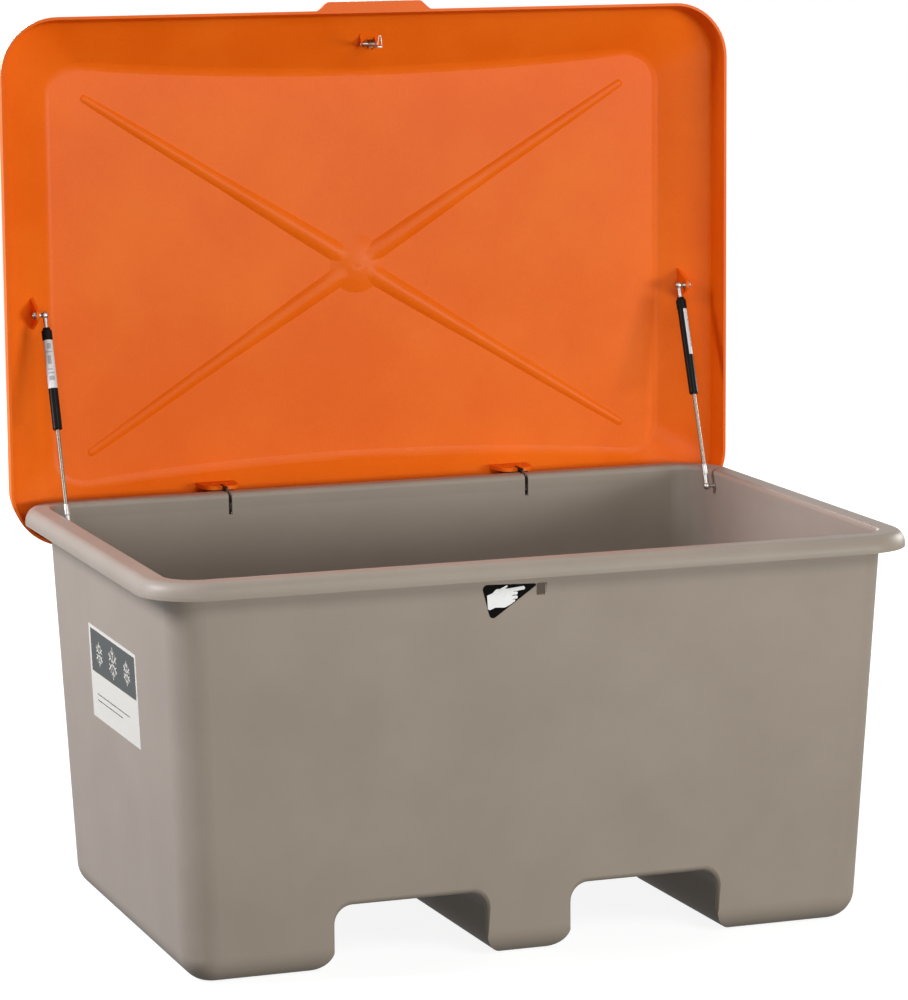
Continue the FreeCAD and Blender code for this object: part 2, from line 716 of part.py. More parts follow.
def latch_bracket():
    """Folded steel bracket under the front slope, with two cheeks for the pin."""
    thick = plate
    base = slope_prism([(-12, seat, 0), (17, seat, 0), (17, seat + thick, 0), (-12, seat + thick, 0)],
                       catch_left - thick, catch_right + thick)
    cheek = [(-8, seat, 0), (8, seat, 0), (4, catch_stand + 3.5, 3), (-4, catch_stand + 3.5, 3)]
    cheeks = [slope_prism(cheek, catch_left - thick, catch_left), slope_prism(cheek, catch_right, catch_right + thick)]
    height = lid_edge_z + catch_height()
    bore = rod_x(catch_pin_radius + running, catch_left - 5, catch_right + 5, catch_y, height)
    return opened(base.fuse(cheeks).cut(bore).removeSplitter())


def latch_pin():
    """Pin of the catch with a head at each end."""
    y, z = catch_y, lid_edge_z + catch_height()
    pin = rod_x(catch_pin_radius, catch_left - 3, catch_right + 3, y, z)
    heads = [rod_x(3, catch_left - 3.4, catch_left - 2.2, y, z), rod_x(3, catch_right + 2.2, catch_right + 3.4, y, z)]
    return opened(pin.fuse(heads).removeSplitter())


def latch_hook():
    """Strip steel hook: hub on the pin, shank down to the finger slot, nose forward through it."""
    y, z = catch_y, lid_edge_z + catch_height()
    drop = finger_slot_top - nose_depth
    t = hook_thickness
    x0 = hook_x - hook_width / 2
    profile = [(nose_root, z, 0), (nose_root, drop + t, 1), (nose_end, drop + t, 0), (nose_end, drop + 1.2, 0),
               (nose_end + 4, drop, 2), (nose_root + t, drop, 3), (nose_root + t, z, 0)]
    strip = prism_x(profile, x0, x0 + hook_width)
    strip = strip.fuse(rod_x(hook_hub, x0, x0 + hook_width, y, z)).removeSplitter()
    gap = (hook_width - hook_tip_width) / 2
    for edge, inward in ((x0, 1), (x0 + hook_width, -1)):
        taper = Part.makePolygon([Vector(edge, nose_root - 2, drop - 1), Vector(edge, nose_end - 1, drop - 1),
                                  Vector(edge + inward * gap, nose_end - 1, drop - 1),
                                  Vector(edge, nose_root - 2, drop - 1)])
        strip = strip.cut(Part.Face(taper).extrude(Vector(0, 0, t + 2)))
    return opened(strip.cut(rod_x(catch_pin_radius + running, x0 - 1, x0 + hook_width + 1, y, z)))


def half_arc(start, corner, end):
    """Arc from start to end whose end tangents meet at the corner."""
    middle = (start + end) / 2
    rise = corner - middle
    half = (end - start).Length / 2
    sagitta = half * math.tan(math.atan2(rise.Length, half) / 2)
    return Part.Arc(start, middle + rise.normalize() * sagitta, end).toShape()


def biarc(start, start_way, end, end_way):
    """Two tangent arcs between two points with given directions."""
    chord = end - start
    along = chord.dot(start_way + end_way)
    spread = 2 * (1 - start_way.dot(end_way))
    reach = (-along + math.sqrt(along**2 + spread * chord.dot(chord))) / spread
    first = start + start_way * reach
    second = end - end_way * reach
    joint = (first + second) / 2
    return [half_arc(start, first, joint), half_arc(joint, second, end)]


def tangent_angle(y, z, sign):
    """Angle on the coil where a straight leg to the point (y, z) leaves it."""
    return math.atan2(z, y) + sign * math.acos(coil_radius / math.hypot(y, z))


def latch_spring():
    """Torsion spring round the catch's pin: a leg behind the hook, the coil, a leg under the bracket."""
    centre = Vector(0, catch_y, lid_edge_z + catch_height())
    behind_hook = nose_root + hook_thickness + wire_radius + seat - catch_y
    free_height = catch_stand - plate - 2 * seat - wire_radius
    leg_height = (free_height - base_leg * math.sin(latch_travel)) / math.cos(latch_travel)
    under_base = catch_point(base_leg, catch_stand - leg_height) - centre
    first = tangent_angle(behind_hook, -hook_leg, 1)
    turn = 2 * math.pi
    last = first + (tangent_angle(under_base.y, under_base.z, -1) - first) % turn + turn * coil_turns
    quarters = math.ceil((last - first) / (math.pi / 2))
    rise = coil_pitch / (2 * math.pi)

    def at(angle):
        x = coil_start + rise * (angle - first)
        return centre + Vector(x, coil_radius * math.cos(angle), coil_radius * math.sin(angle))

    def way(angle):
        return Vector(rise, -coil_radius * math.sin(angle), coil_radius * math.cos(angle)).normalize()

    bend = 2.2 * wire_radius
    up = way(first)
    foot = at(first) - up * math.sqrt(behind_hook**2 + hook_leg**2 - coil_radius**2)
    bend_end = foot - up * bend - AXIS_X * bend
    edges = [Part.makeLine(bend_end - AXIS_X * hook_width, bend_end), half_arc(bend_end, foot - up * bend, foot),
             Part.makeLine(foot, at(first))]
    turns = [first + (last - first) * k / quarters for k in range(quarters + 1)]
    for a, b in zip(turns, turns[1:]):
        edges += biarc(at(a), way(a), at(b), way(b))
    reach = math.sqrt(under_base.y**2 + under_base.z**2 - coil_radius**2)
    edges.append(Part.makeLine(at(last), at(last) + way(last) * reach))
    path = Part.Wire(edges)
    ring = Part.Wire(Part.makeCircle(wire_radius, bend_end - AXIS_X * hook_width, AXIS_X))
    spring = path.makePipeShell([ring], True, False)
    fine = [first + math.radians(6) * k for k in range(int((last - first) / math.radians(6)))]
    gap = min((at(a) - at(b)).Length for a in fine for b in fine if b - a > math.pi) - 2 * wire_radius
    length = sum(edge.Length for edge in edges)
    print(f"latch_spring: least gap {gap:.2f}, volume {spring.Volume:.1f}, "
          f"section times length {math.pi * wire_radius**2 * length:.1f}")
    return opened(spring)


def write_pair(name, make):
    """Write a piece's right and left copies as two nodes."""
    for side, shape in both_sides(make).items():
        write(f"{name}_{side}", shape)


def main():
    write("tub", make_tub())
    write("lid", opened(make_lid()))
    write_pair("hinge_arm", lambda side: opened(hinge_arm(side)))
    write("hinge_rivets", opened(hinge_rivets()))
    write_pair("hinge_bracket", hinge_bracket)
    write_pair("hinge_pin", hinge_pin)
    for name, make in (("lower_socket", lower_socket), ("piston_rod", piston_rod), ("piston", piston),
                       ("cylinder", cylinder_tube), ("rod_guide", rod_guide), ("end_cap", end_cap),
                       ("upper_socket", upper_socket), ("lower_stud", lower_stud), ("upper_stud", upper_stud)):
        write_pair(name, make)
    lower = [nut(side, lip_half_length + seat, lower_ball_y, lower_ball_z) for side in (-1, 1)]
    write("lower_stud_nuts", Part.makeCompound(lower))
    upper = [nut(side, ear_inner_x + lid_wall, upper_ball_y, lid_edge_z + upper_ball_height) for side in (-1, 1)]
    write("upper_stud_nuts", opened(Part.makeCompound(upper)))
    write("latch_bracket", latch_bracket())
    write("latch_pin", latch_pin())
    write("latch_hook", latch_hook())
    write("latch_spring", latch_spring())
    print(f"spring: {open_length:.2f} long, stroke {stroke:.2f}, tilt {tilt_open:.3f} to {tilt_closed:.3f}")
    print(f"catch pin: {opened_point(catch_y, lid_edge_z + catch_height())}")


main()
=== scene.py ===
import math
import bpy
import bmesh
from mathutils import Matrix, Vector


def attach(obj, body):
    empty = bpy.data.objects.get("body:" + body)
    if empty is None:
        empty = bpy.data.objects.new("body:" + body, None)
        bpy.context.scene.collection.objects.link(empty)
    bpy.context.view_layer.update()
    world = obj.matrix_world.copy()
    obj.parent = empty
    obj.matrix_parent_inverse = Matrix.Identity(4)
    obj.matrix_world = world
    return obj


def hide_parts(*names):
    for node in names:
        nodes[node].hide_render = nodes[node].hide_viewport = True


# Grit salt bin, lid open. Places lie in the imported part's own frame.
# Lengths are in metres, apart from those that a note or a name gives in millimetres (mm).

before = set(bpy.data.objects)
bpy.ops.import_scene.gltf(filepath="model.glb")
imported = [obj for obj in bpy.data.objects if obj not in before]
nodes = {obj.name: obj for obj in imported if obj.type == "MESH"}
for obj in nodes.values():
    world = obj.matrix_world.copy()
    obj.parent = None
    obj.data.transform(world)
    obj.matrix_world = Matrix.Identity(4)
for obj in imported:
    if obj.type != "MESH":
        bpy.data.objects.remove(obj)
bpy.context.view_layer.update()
print("frame loaded:", len(nodes), "nodes")


# Small helpers for colours and nodes

def toLinear(code):
    # An sRGB hex value as the linear colour that a shader takes
    channels = [int(code[i:i + 2], 16) / 255 for i in (1, 3, 5)]
    return [c / 12.92 if c <= 0.04045 else ((c + 0.055) / 1.055) ** 2.4 for c in channels] + [1.0]


def addNode(tree, kind, values=None, links=None, **settings):
    node = tree.nodes.new(kind)
    for name, value in settings.items():
        setattr(node, name, value)
    for socket, value in (values or {}).items():
        node.inputs[socket].default_value = value
    for socket, source in (links or {}).items():
        tree.links.new(source, node.inputs[socket])
    return node


def newMaterial(name):
    material = bpy.data.materials.new(name)
    material.use_nodes = True
    material.node_tree.nodes.clear()
    return material, material.node_tree


def perMetre(millimetres):
    # The scale that gives a noise texture spots of about this width
    return 1000 / millimetres


# Materials. In each look, dark and light are the two tones, rough is the span of the roughness, shine is the
# strength of the plain reflection, names that end in Mm are widths of spots in millimetres, and names that
# end in High are heights of relief in metres.

def gelcoatedGlassFibre(name, look):
    # Glass fibre laminate under a pigmented gelcoat, sprayed into a mould and rolled by hand:
    # a satin skin with faint clouds of tone, an orange peel of a few millimetres and broad soft waves.
    material, tree = newMaterial(name)
    place = addNode(tree, "ShaderNodeTexCoord").outputs["Object"]
    cloud = addNode(tree, "ShaderNodeTexNoise",
                    {"Scale": perMetre(look["cloudMm"]), "Detail": 4.0, "Roughness": 0.55}, {"Vector": place})
    speck = addNode(tree, "ShaderNodeTexNoise", {"Scale": perMetre(look["speckMm"]), "Detail": 2.0},
                    {"Vector": place})
    both = addNode(tree, "ShaderNodeMath", {1: look["speckShare"]},
                   {0: speck.outputs["Fac"], 2: cloud.outputs["Fac"]}, operation="MULTIPLY_ADD")
    middle = 0.5 + look["speckShare"] / 2  # both noises swing round a half
    share = addNode(tree, "ShaderNodeMapRange",
                    {"From Min": middle - look["swing"], "From Max": middle + look["swing"]},
                    {"Value": both.outputs[0]})
    colour = addNode(tree, "ShaderNodeMix", {6: toLinear(look["dark"]), 7: toLinear(look["light"])},
                     {0: share.outputs[0]}, data_type="RGBA")
    rough = addNode(tree, "ShaderNodeMapRange", {"To Min": look["rough"][0], "To Max": look["rough"][1]},
                    {"Value": cloud.outputs["Fac"]})
    peel = addNode(tree, "ShaderNodeTexNoise", {"Scale": perMetre(look["peelMm"]), "Detail": 1.5},
                   {"Vector": place})
    wave = addNode(tree, "ShaderNodeTexNoise", {"Scale": perMetre(look["waveMm"]), "Detail": 1.0},
                   {"Vector": place})
    broad = addNode(tree, "ShaderNodeBump", {"Strength": 1.0, "Distance": look["waveHigh"]},
                    {"Height": wave.outputs["Fac"]})
    fine = addNode(tree, "ShaderNodeBump", {"Strength": 1.0, "Distance": look["peelHigh"]},
                   {"Height": peel.outputs["Fac"], "Normal": broad.outputs[0]})
    shader = addNode(tree, "ShaderNodeBsdfPrincipled", {"IOR": 1.5, "Specular IOR Level": look["shine"]},
                     {"Base Color": colour.outputs[2], "Roughness": rough.outputs[0],
                      "Normal": fine.outputs[0]})
    addNode(tree, "ShaderNodeOutputMaterial", links={"Surface": shader.outputs[0]})
    return material


def metalFinish(name, look):
    # Rolled or drawn metal: blotches of tone where the finish took unevenly, and fine streaks, which lie
    # across the axis that stretch names. They are about half a millimetre long, to show in a close view.
    material, tree = newMaterial(name)
    place = addNode(tree, "ShaderNodeTexCoord").outputs["Object"]
    stretch = addNode(tree, "ShaderNodeMapping", {"Scale": look["stretch"]}, {"Vector": place})
    blotch = addNode(tree, "ShaderNodeTexNoise", {"Scale": perMetre(look["blotchMm"]), "Detail": 3.0},
                     {"Vector": place})
    streak = addNode(tree, "ShaderNodeTexNoise", {"Scale": perMetre(look["streakMm"]), "Detail": 2.0},
                     {"Vector": stretch.outputs[0]})
    colour = addNode(tree, "ShaderNodeMix", {6: toLinear(look["dark"]), 7: toLinear(look["light"])},
                     {0: blotch.outputs["Fac"]}, data_type="RGBA")
    rough = addNode(tree, "ShaderNodeMapRange", {"To Min": look["rough"][0], "To Max": look["rough"][1]},
                    {"Value": streak.outputs["Fac"]})
    bump = addNode(tree, "ShaderNodeBump", {"Strength": 0.6, "Distance": look["streakHigh"]},
                   {"Height": streak.outputs["Fac"]})
    shader = addNode(tree, "ShaderNodeBsdfPrincipled", {"Metallic": 1.0},
                     {"Base Color": colour.outputs[2], "Roughness": rough.outputs[0],
                      "Normal": bump.outputs[0]})
    addNode(tree, "ShaderNodeOutputMaterial", links={"Surface": shader.outputs[0]})
    return material


def coatedSurface(name, look):
    # Paint, moulded plastic or printed foil: one colour with a little unevenness and a fine grain.
    # The real grain is finer than the render shows, so it is drawn about a millimetre wide or more.
    material, tree = newMaterial(name)
    place = addNode(tree, "ShaderNodeTexCoord").outputs["Object"]
    grain = addNode(tree, "ShaderNodeTexNoise", {"Scale": perMetre(look["grainMm"]), "Detail": 3.0},
                    {"Vector": place})
    colour = addNode(tree, "ShaderNodeMix", {6: toLinear(look["dark"]), 7: toLinear(look["light"])},
                     {0: grain.outputs["Fac"]}, data_type="RGBA")
    rough = addNode(tree, "ShaderNodeMapRange", {"To Min": look["rough"][0], "To Max": look["rough"][1]},
                    {"Value": grain.outputs["Fac"]})
    bump = addNode(tree, "ShaderNodeBump", {"Strength": 0.5, "Distance": look["grainHigh"]},
                   {"Height": grain.outputs["Fac"]})
    shader = addNode(tree, "ShaderNodeBsdfPrincipled",
                     {"IOR": 1.5, "Coat Roughness": 0.12, "Coat Weight": look["coat"],
                      "Specular IOR Level": look["shine"]},
                     {"Base Color": colour.outputs[2], "Roughness": rough.outputs[0],
                      "Normal": bump.outputs[0]})
    addNode(tree, "ShaderNodeOutputMaterial", links={"Surface": shader.outputs[0]})
    return material


# A satin grey brown with hardly any speckle
tubGelcoat = gelcoatedGlassFibre("taupeGelcoat", {
    "dark": "#918679", "light": "#968b7e", "cloudMm": 160, "speckMm": 2.2, "speckShare": 0.25, "swing": 0.15,
    "peelMm": 3.5, "peelHigh": 0.00008, "waveMm": 90, "waveHigh": 0.0006, "rough": (0.38, 0.47),
    "shine": 0.20})
# A signal orange, a little smoother and more mottled than the tub
lidGelcoat = gelcoatedGlassFibre("orangeGelcoat", {
    "dark": "#e5620a", "light": "#ec6d14", "cloudMm": 220, "speckMm": 2.6, "speckShare": 0.35, "swing": 0.15,
    "peelMm": 4.0, "peelHigh": 0.00010, "waveMm": 110, "waveHigh": 0.0007, "rough": (0.32, 0.41),
    "shine": 0.12})
# Bright zinc plate of the small steel parts: pale grey and a little blotchy, with turning marks
zincPlate = metalFinish("zincPlatedSteel", {
    "dark": "#9d9c99", "light": "#c9c8c4", "blotchMm": 5, "streakMm": 0.6,
    "streakHigh": 0.00004, "stretch": (1, 1, 8), "rough": (0.26, 0.42)})
# Piston rod, ground and hard: tight highlights and hardly any relief
brightRod = metalFinish("groundPistonRod", {
    "dark": "#756e63", "light": "#8f887c", "blotchMm": 9, "streakMm": 0.5,
    "streakHigh": 0.000002, "stretch": (1, 1, 12), "rough": (0.18, 0.34)})
# Bent flat steel of the hook: soft highlights
brightSteel = metalFinish("polishedHookSteel", {
    "dark": "#8b8780", "light": "#aaa69e", "blotchMm": 6, "streakMm": 0.5,
    "streakHigh": 0.00004, "stretch": (1, 8, 1), "rough": (0.32, 0.48)})
# Drawn spring wire: darker and browner than plate, with its marks along the coil
springSteel = metalFinish("drawnSpringSteel", {
    "dark": "#6d6860", "light": "#a39d92", "blotchMm": 4, "streakMm": 0.4,
    "streakHigh": 0.00004, "stretch": (6, 1, 1), "rough": (0.22, 0.38)})
# Blackened strip of the hinge arms: near black with a faint sheen of steel. The near black is partly painted
# shade, for the shadow inside the rim's slots where the arms pass
blackenedSteel = metalFinish("blackenedSteel", {
    "dark": "#1c1a18", "light": "#34302c", "blotchMm": 6, "streakMm": 0.6,
    "streakHigh": 0.00004, "stretch": (1, 1, 8), "rough": (0.30, 0.46)})
# Stoved enamel of the pressure tubes: deep black, half gloss
blackEnamel = coatedSurface("blackTubeEnamel", {
    "dark": "#040404", "light": "#0a0a0a", "grainMm": 1.4, "grainHigh": 0.00003,
    "rough": (0.24, 0.36), "coat": 0.04, "shine": 0.12})
# Moulded nylon of the end caps: duller than the enamel
blackNylon = coatedSurface("blackMouldedNylon", {
    "dark": "#070707", "light": "#0e0e0e", "grainMm": 0.9, "grainHigh": 0.00004,
    "rough": (0.42, 0.54), "coat": 0.0, "shine": 0.10})
# White vinyl film that the weather has turned a warm grey
paleFoil = coatedSurface("paleLabelFoil", {
    "dark": "#c6c2b4", "light": "#d6d2c6", "grainMm": 6.0, "grainHigh": 0.00002,
    "rough": (0.36, 0.48), "coat": 0.15, "shine": 0.3})
# Pale polyester film round the gas springs
silverFoil = coatedSurface("silverLabelFoil", {
    "dark": "#c4c2c0", "light": "#dedcd9", "grainMm": 3.0, "grainHigh": 0.00002,
    "rough": (0.28, 0.40), "coat": 0.2, "shine": 0.4})
# Printing inks: flat and even, the black one matt and the white one opaque
paleInk = coatedSurface("paleLabelInk", {
    "dark": "#8f9092", "light": "#adaeb0", "grainMm": 1.2, "grainHigh": 0.00002,
    "rough": (0.36, 0.48), "coat": 0.1, "shine": 0.3})
greyInk = coatedSurface("darkLabelInk", {
    "dark": "#3a3d3a", "light": "#4b4e4a", "grainMm": 1.6, "grainHigh": 0.00002,
    "rough": (0.40, 0.52), "coat": 0.15, "shine": 0.3})
blackInk = coatedSurface("blackSignInk", {
    "dark": "#030302", "light": "#080706", "grainMm": 3.0, "grainHigh": 0.00002,
    "rough": (0.49, 0.61), "coat": 0.0, "shine": 0.05})
whiteInk = coatedSurface("whiteSignInk", {
    "dark": "#dfe0dd", "light": "#f0f0ee", "grainMm": 5.0, "grainHigh": 0.00002,
    "rough": (0.34, 0.46), "coat": 0.15, "shine": 0.3})

# Finish of the CAD nodes, with zinc plate for those that aren't named. The catch's bracket went under the
# lid's gelcoat.
# The hinge arms' near-black finish is partly painted shade, for the dark slots in the rim
nodeFinish = {
    "tub": tubGelcoat, "lid": lidGelcoat, "latch_bracket": lidGelcoat, "hinge_arm": blackenedSteel,
    "cylinder": blackEnamel, "end_cap": blackNylon, "piston_rod": brightRod}
for name, node in nodes.items():
    kind = name.replace("_left", "").replace("_right", "")
    node.data.materials.clear()
    node.data.materials.append(nodeFinish.get(kind, zincPlate))
print("materials made:", len(bpy.data.materials))


# Mesh helpers

nearlyStraight = 176  # degrees between two sides past which a corner isn't rounded
sameSpot = 1e-6  # points closer than this are merged


def newPiece(name, mesh, material, body, replaced=None):
    mesh.materials.clear()
    mesh.materials.append(material)
    piece = bpy.data.objects.new(name, mesh)
    bpy.context.scene.collection.objects.link(piece)
    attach(piece, body)
    if replaced:
        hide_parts(replaced)


def meshFrom(form, name):
    bmesh.ops.recalc_face_normals(form, faces=form.faces)
    mesh = bpy.data.meshes.new(name)
    form.to_mesh(mesh)
    form.free()
    return mesh


def smoothMeshFrom(form, name, degrees):
    # Smooth shading, with the edges left sharp that turn by more than these degrees
    mesh = meshFrom(form, name)
    shaded = bmesh.new()
    shaded.from_mesh(mesh)
    for edge in shaded.edges:
        edge.smooth = len(edge.link_faces) == 2 and edge.calc_face_angle(0) < math.radians(degrees)
    for face in shaded.faces:
        face.smooth = True
    shaded.to_mesh(mesh)
    shaded.free()
    return mesh


def addMesh(form, part):
    form.from_mesh(part)
    bpy.data.meshes.remove(part)


def joinRings(form, here, there):
    for i in range(len(here)):
        j = (i + 1) % len(here)
        form.faces.new([here[i], here[j], there[j], there[i]])


def addPlate(form, outline, place, low, high):
    # A flat outline between two heights, put into the frame by place(a, b, height)
    bottom, top = [[form.verts.new(place(a, b, lift)) for a, b in outline] for lift in (low, high)]
    form.faces.new(top)
    form.faces.new(list(reversed(bottom)))
    joinRings(form, bottom, top)


def platesFrom(outlines, place, low, high, name):
    form = bmesh.new()
    for outline in outlines:
        addPlate(form, outline, place, low, high)
    bmesh.ops.triangulate(form, faces=[f for f in form.faces if len(f.verts) > 4])
    return meshFrom(form, name)


def roundCorners(points, steps):
    # Points are (a, b, corner radius)
    outline = []
    for i, (a, b, r) in enumerate(points):
        here = Vector((a, b))
        back = (Vector(points[i - 1][:2]) - here).normalized()
        ahead = (Vector(points[(i + 1) % len(points)][:2]) - here).normalized()
        half = back.angle(ahead) / 2
        if half > math.radians(nearlyStraight / 2):
            outline.append(tuple(here))
            continue
        centre = here + (back + ahead).normalized() * (r / math.sin(half))
        first = here + back * (r / math.tan(half)) - centre
        last = here + ahead * (r / math.tan(half)) - centre
        for k in range(steps + 1):
            t = k / steps
            arm = (first * (1 - t) + last * t).normalized() * r
            outline.append(tuple(centre + arm))
    return outline


def spunForm(outlineAt, place, steps, start=0.0, sweep=360.0):
    # A solid of revolution round the Z axis, whole or a part turn, put into the frame by place.
    # outlineAt(angle) gives its closed outline as (radius, height) points.
    whole = sweep >= 360
    form = bmesh.new()
    rings = []
    for k in range(steps if whole else steps + 1):
        angle = math.radians(start + sweep * k / steps)
        rings.append([form.verts.new(place(Vector((r * math.cos(angle), r * math.sin(angle), h))))
                      for r, h in outlineAt(angle)])
    for k in range(steps):
        joinRings(form, rings[k], rings[(k + 1) % len(rings)])
    if not whole:
        form.faces.new(rings[0])
        form.faces.new(list(reversed(rings[-1])))
    bmesh.ops.remove_doubles(form, verts=form.verts, dist=sameSpot)
    return form


# Geometry Nodes: a wire along a path, and one fastener repeated on points

def newTree(name, inputs):
    tree = bpy.data.node_groups.new(name, "GeometryNodeTree")
    tree.interface.new_socket(name="Geometry", in_out="INPUT", socket_type="NodeSocketGeometry")
    keys = {label: tree.interface.new_socket(name=label, in_out="INPUT", socket_type=kind).identifier
            for label, kind in inputs.items()}
    tree.interface.new_socket(name="Geometry", in_out="OUTPUT", socket_type="NodeSocketGeometry")
    return tree, keys, tree.nodes.new("NodeGroupInput").outputs


def endTree(tree, geometry, material):
    real = addNode(tree, "GeometryNodeRealizeInstances", links={"Geometry": geometry})
    done = addNode(tree, "GeometryNodeSetMaterial", links={"Geometry": real.outputs[0], "Material": material})
    addNode(tree, "NodeGroupOutput", links={"Geometry": done.outputs[0]})


def makeWireTree():
    tree, keys, given = newTree("wireOnPath", {"Wire radius": "NodeSocketFloat",
                                               "Wire sides": "NodeSocketInt",
                                               "Material": "NodeSocketMaterial"})
    path = addNode(tree, "GeometryNodeMeshToCurve", links={"Mesh": given["Geometry"]})
    ring = addNode(tree, "GeometryNodeCurvePrimitiveCircle",
                   links={"Resolution": given["Wire sides"], "Radius": given["Wire radius"]})
    tube = addNode(tree, "GeometryNodeCurveToMesh", {"Fill Caps": True},
                   {"Curve": path.outputs[0], "Profile Curve": ring.outputs[0]})
    endTree(tree, tube.outputs[0], given["Material"])
    return tree, keys


def makeFastenerTree():
    tree, keys, given = newTree("fastenersOnPoints", {"Fastener": "NodeSocketObject",
                                                      "Material": "NodeSocketMaterial"})
    single = addNode(tree, "GeometryNodeObjectInfo", links={"Object": given["Fastener"]})
    turn = addNode(tree, "GeometryNodeInputNamedAttribute", {"Name": "turn"}, data_type="FLOAT_VECTOR")
    spin = addNode(tree, "FunctionNodeEulerToRotation", links={"Euler": turn.outputs["Attribute"]})
    placed = addNode(tree, "GeometryNodeInstanceOnPoints",
                     links={"Points": given["Geometry"], "Instance": single.outputs["Geometry"],
                            "Rotation": spin.outputs[0]})
    endTree(tree, placed.outputs[0], given["Material"])
    return tree, keys


def grownMesh(name, source, tree, keys, inputs, degrees):
    # The tree runs once over the source mesh, and its result is kept as a plain mesh
    carrier = bpy.data.objects.new(name + "Source", source)
    bpy.context.scene.collection.objects.link(carrier)
    grow = carrier.modifiers.new("grow", "NODES")
    grow.node_group = tree
    for label, value in inputs.items():
        grow[keys[label]] = value
    depsgraph = bpy.context.evaluated_depsgraph_get()
    mesh = bpy.data.meshes.new_from_object(carrier.evaluated_get(depsgraph), depsgraph=depsgraph)
    carrier.modifiers.remove(grow)
    bpy.data.objects.remove(carrier)
    form = bmesh.new()
    form.from_mesh(mesh)
    return smoothMeshFrom(form, name, degrees)


# Walls that carry labels: half widths of the tub at the floor, and what they gain up to this height

tubWall = {"halfX": 0.5355, "halfY": 0.336, "gainX": 0.0255, "gainY": 0.034, "high": 0.583}


def onLeftWall(y, z, lift):
    slope = tubWall["gainX"] / tubWall["high"]
    out = Vector((-1, 0, -slope)).normalized()
    return Vector((-(tubWall["halfX"] + slope * z), y, z)) + out * lift


def onFrontWall(x, z, lift):
    slope = tubWall["gainY"] / tubWall["high"]
    out = Vector((0, -1, -slope)).normalized()
    return Vector((x, -(tubWall["halfY"] + slope * z), z)) + out * lift


# Printed films: lift is their gap to the wall, top how far they stand out from it, and ink lies on that

film = {"lift": 0.00005, "top": 0.0002, "ink": 0.00012}
inkTop = film["top"] + film["ink"]


# Foil label on the left wall: bare of words, with a generic frost sign.
# Flakes are (y, radius), and rules are (y at the back, y at the front, z).

sideLabel = {"back": 0.123, "front": -0.146, "top": 0.462, "bottom": 0.317, "slant": 0.002,
             "corner": 0.002, "cornerSteps": 6, "bandBack": 0.1135, "bandFront": -0.1385, "bandTop": 0.4565,
             "bandBottom": 0.3895, "flakes": ((0.066, 0.019), (-0.012, 0.025), (-0.091, 0.019)),
             "flakeDrop": 0.001, "flakeLine": 0.0024,
             "rules": ((0.092, -0.094, 0.356), (0.092, -0.052, 0.3465)), "ruleHigh": 0.0016}

# Its arms, with a pair of twigs on each. Names that end in Lines are in widths of the line, and twigFrom and
# twigLong are shares of the sign's radius.
frost = {"arms": 6, "firstDegrees": 30, "armStartLines": 0.9, "twigDegrees": 52, "twigFrom": 0.52,
         "twigStartLines": 0.6, "twigLong": 0.33, "twigLines": 0.8}


def bar(start, end, wide):
    side = (end - start).normalized().orthogonal() * wide / 2
    return [tuple(start + side), tuple(start - side), tuple(end - side), tuple(end + side)]


def frostBars(middle, radius, line, s):
    bars = []
    for k in range(s["arms"]):
        turn = math.radians(360 / s["arms"] * k + s["firstDegrees"])
        way = Vector((math.cos(turn), math.sin(turn)))
        bars.append(bar(middle + way * line * s["armStartLines"], middle + way * radius, line))
        for side in (-1, 1):
            twigTurn = turn + side * math.radians(s["twigDegrees"])
            twig = Vector((math.cos(twigTurn), math.sin(twigTurn)))
            fork = middle + way * radius * s["twigFrom"] + twig * line * s["twigStartLines"]
            bars.append(bar(fork, fork + twig * radius * s["twigLong"], line * s["twigLines"]))
    return bars


def labelPlates(name, outlines, low, high, ink):
    newPiece(name, platesFrom(outlines, onLeftWall, low, high, name), ink, "tub")


def makeSideLabel(s):
    sheet = [(s["back"], s["top"]), (s["front"], s["top"] - s["slant"]), (s["front"], s["bottom"]),
             (s["back"], s["bottom"])]
    rounded = roundCorners([(y, z, s["corner"]) for y, z in sheet], s["cornerSteps"])
    labelPlates("sideLabelFoil", [rounded], film["lift"], film["top"], paleFoil)
    band = [(s["bandBack"], s["bandTop"]), (s["bandFront"], s["bandTop"] - s["slant"]),
            (s["bandFront"], s["bandBottom"]), (s["bandBack"], s["bandBottom"])]
    labelPlates("sideLabelBand", [band], film["top"], inkTop, greyInk)
    flakeZ = (s["bandTop"] + s["bandBottom"]) / 2 - s["flakeDrop"]
    flakes = []
    for y, radius in s["flakes"]:
        flakes += frostBars(Vector((y, flakeZ)), radius, s["flakeLine"], frost)
    labelPlates("sideLabelFrost", flakes, inkTop, inkTop + film["ink"], paleFoil)
    rules = [bar(Vector((a, z)), Vector((b, z)), s["ruleHigh"]) for a, b, z in s["rules"]]
    labelPlates("sideLabelRules", rules, film["top"], inkTop, greyInk)


makeSideLabel(sideLabel)
print("side label laid on")


# Sign beside the finger slot: a black three-cornered foil with a white pointing hand, in mm on the wall.
# Foil and palm are (x, z, corner radius), fingers and the gaps between them (start, end, radius).

